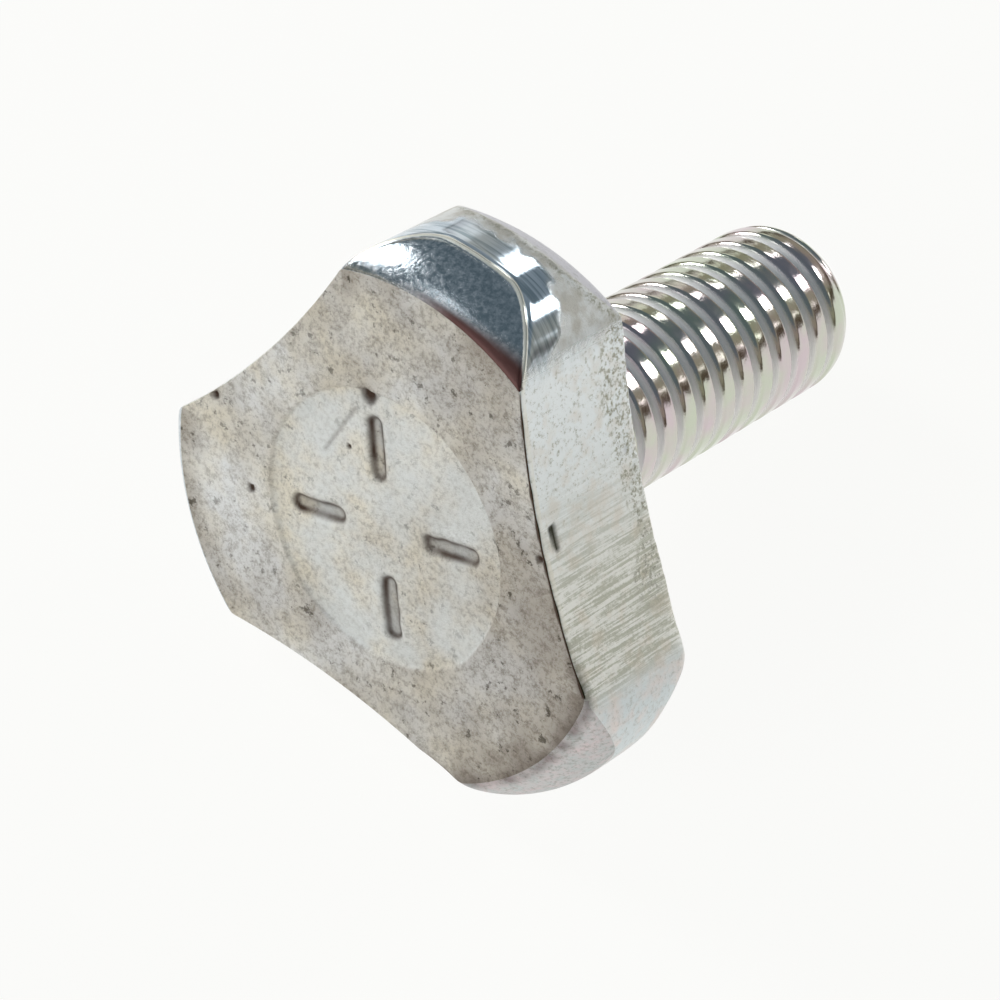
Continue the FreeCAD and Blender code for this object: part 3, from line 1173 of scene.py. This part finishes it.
def rubbed_lobe_tone(tree, sand, cloud):
    """Dull lobe: pale zinc with a cool and a pinkish cast, and small specks."""
    pinkish = ranged(tree, cloud, (0.42, 0.62))
    specked = ranged(tree, sand, (0.5, 0.68), to=(0.0, 0.5))
    return coated(tree, RUBBED_SIDE, [(pinkish, RUBBED_SIDE_PINK), (specked, SIDE_SPECKS)])


def scooped_zinc_side():
    """Zinc on the forged side: mirror-like round the rims, matte where it is rubbed.

    The lower half of a scoop is drawn with fine lines, the upper half is mottled."""
    material, tree, place, layers = new_finish("zinc_plated_scooped_side", (
        "scoop", "drawn", "rear", "seat", "dull", "crumbled", "edge_highlight", "shade_and_darkening",
    ))
    scoop, drawn, rear, seat, dull, crumbled, edge, shade_and_darkening = layers
    lines = drawn_lines(tree, place)
    sand = noise(tree, place, SIDE_SAND_WIDTH, 5.0, 0.75)
    cloud = noise(tree, place, STAIN_WIDTH, 5.0)
    sandy = ranged(tree, sand, (0.53, 0.7))
    crumbs = ranged(tree, sand, (0.48, 0.6), to=(0.0, crumbled))
    tone = coated(tree, lobe_tone(tree, place, sandy, cloud, rear, seat), [
        (dull, rubbed_lobe_tone(tree, sand, cloud)),
        (scoop, scoop_tone(tree, sand, sandy, cloud, lines, drawn)),
        (crumbs, CRUMBLED_METAL), (edge, EDGE_HIGHLIGHT_TONE), (shade_and_darkening, SIDE_DARKENING),
    ])
    metal = ranged(tree, scoop, to=(0.65, 0.9))
    metal = add(tree, MIX, {"Factor": seat, "A": metal, "B": 0.35})
    matte = greater(tree, dull, rear)
    matte = greater(tree, matte, scoop)
    rough = ranged(tree, matte, to=(0.09, 0.36))
    line_height = ranged(tree, drawn, to=(0.0, 0.6))
    lined = add(tree, BUMP, {"Height": lines, "Distance": 0.04 * MM, "Strength": line_height})
    sand_height = ranged(tree, matte, to=(0.03, 0.8))
    uneven = add(tree, BUMP, {
        "Height": sand, "Distance": 0.05 * MM, "Strength": sand_height, "Normal": lined,
    })
    set_surface(tree, tone, metal, rough, uneven)
    return material


def rolled_zinc_thread():
    """Bright zinc on the rolled thread: glossy crests with faint tints, and grooves painted pale as
    light lines between the turns.
    """
    material, tree, place, (groove,) = new_finish("zinc_plated_rolled_thread", ("groove",))
    tint = noise(tree, place, THREAD_TINT_WIDTH, 3.0)
    wear = noise(tree, place, THREAD_WEAR_WIDTH, 4.0)
    pinkish = ranged(tree, tint, (0.4, 0.62))
    # Painted light: the grooves are pale, less metallic and rougher, so they show as light lines
    inside = ranged(tree, groove, (0.1, 0.45))
    tone = coated(tree, THREAD_ZINC, [(pinkish, THREAD_ZINC_PINK), (inside, GROOVE_PAINTED_LIGHT)])
    metal = ranged(tree, inside, to=(1.0, 0.6))
    worn = ranged(tree, wear, (0.35, 0.65), to=(0.1, 0.17))
    rough = add(tree, MIX, {"Factor": inside, "A": worn, "B": 0.48})
    uneven = add(tree, BUMP, {"Height": wear, "Distance": 0.02 * MM, "Strength": 0.3})
    set_surface(tree, tone, metal, rough, uneven)
    return material


# Room

def white_table():
    """White table top: it shows plain white, with only a soft shadow on it."""
    material = bpy.data.materials.new("white_table")
    material.use_nodes = True
    tree = material.node_tree
    tree.nodes.clear()
    matte = add(tree, "ShaderNodeBsdfDiffuse", {"Color": TABLE_MATTE})
    white = add(tree, "ShaderNodeEmission", {"Color": TABLE_WHITE})
    shown = add(tree, MIX_SHADER, {0: 0.94, 1: matte, 2: white})
    rays = add(tree, "ShaderNodeLightPath")
    seen = rays.outputs["Is Camera Ray"]
    for ray in ("Is Glossy Ray", "Is Transmission Ray"):
        seen = greater(tree, seen, rays.outputs[ray])
    surface = add(tree, MIX_SHADER, {0: seen, 1: matte, 2: shown})
    add(tree, "ShaderNodeOutputMaterial", {"Surface": surface})
    return material


def add_floor():
    """Table that the screw lies on."""
    bpy.ops.mesh.primitive_plane_add(size=TABLE_SIZE)
    floor = bpy.context.object
    floor.name = "floor"
    floor.data.materials.append(white_table())


def add_room():
    """Walls as the screw mirrors them: brown by the table, then grey, dark overhead."""
    world = bpy.data.worlds.new("room")
    world.use_nodes = True
    tree = world.node_tree
    way = add(tree, "ShaderNodeTexCoord").outputs["Generated"]
    height = add(tree, "ShaderNodeSeparateXYZ", {0: way}).outputs["Z"]
    above_table = ranged(tree, height, (0.1, 0.18), interpolation_type="SMOOTHSTEP")
    overhead = ranged(tree, height, (0.3, 0.46), interpolation_type="SMOOTHSTEP")
    tone = coated(tree, LOW_WALL, [(above_table, WALL), (overhead, CEILING)])
    plug(tree, tree.nodes["Background"], {"Color": tone, "Strength": 1.0})
    bpy.context.scene.world = world


def direction(azimuth, elevation):
    """Unit vector towards an azimuth and elevation in degrees."""
    azimuth, elevation = math.radians(azimuth), math.radians(elevation)
    return Vector((
        math.cos(azimuth) * math.cos(elevation),
        math.sin(azimuth) * math.cos(elevation),
        math.sin(elevation),
    ))


def add_lamp(name, azimuth, elevation, width, watts):
    """Round soft lamp that faces the screw."""
    lamp = bpy.data.lights.new(name, "AREA")
    lamp.shape = "DISK"
    lamp.size = width
    lamp.energy = watts
    lamp_object = bpy.data.objects.new(name, lamp)
    way = direction(azimuth, elevation)
    turn = way.to_track_quat("Z", "Y").to_matrix().to_4x4()
    lamp_object.matrix_world = Matrix.Translation(way * LAMP_DISTANCE) @ turn
    bpy.context.scene.collection.objects.link(lamp_object)


def add_camera():
    """Camera at the photo's angle."""
    back = direction(VIEW_AZIMUTH, VIEW_ELEVATION)
    camera = bpy.data.objects.new("camera", bpy.data.cameras.new("camera"))
    turn = (-back).to_track_quat("-Z", "Y").to_matrix().to_4x4()
    roll = Matrix.Rotation(math.radians(-VIEW_ROLL), 4, "Z")
    camera.matrix_world = Matrix.Translation(VIEW_TARGET + back * VIEW_DISTANCE) @ turn @ roll
    camera.data.lens = LENS
    camera.data.clip_start = NEAREST_SEEN
    camera.data.clip_end = FARTHEST_SEEN
    bpy.context.scene.collection.objects.link(camera)
    bpy.context.scene.camera = camera


build_head([forged_zinc_face(), turned_zinc_bevel(), scooped_zinc_side()])
build_shank(rolled_zinc_thread())
add_floor()
add_room()
for lamp in LAMPS:
    add_lamp(*lamp)
add_camera()
bpy.context.scene.view_settings.view_transform = "Standard"
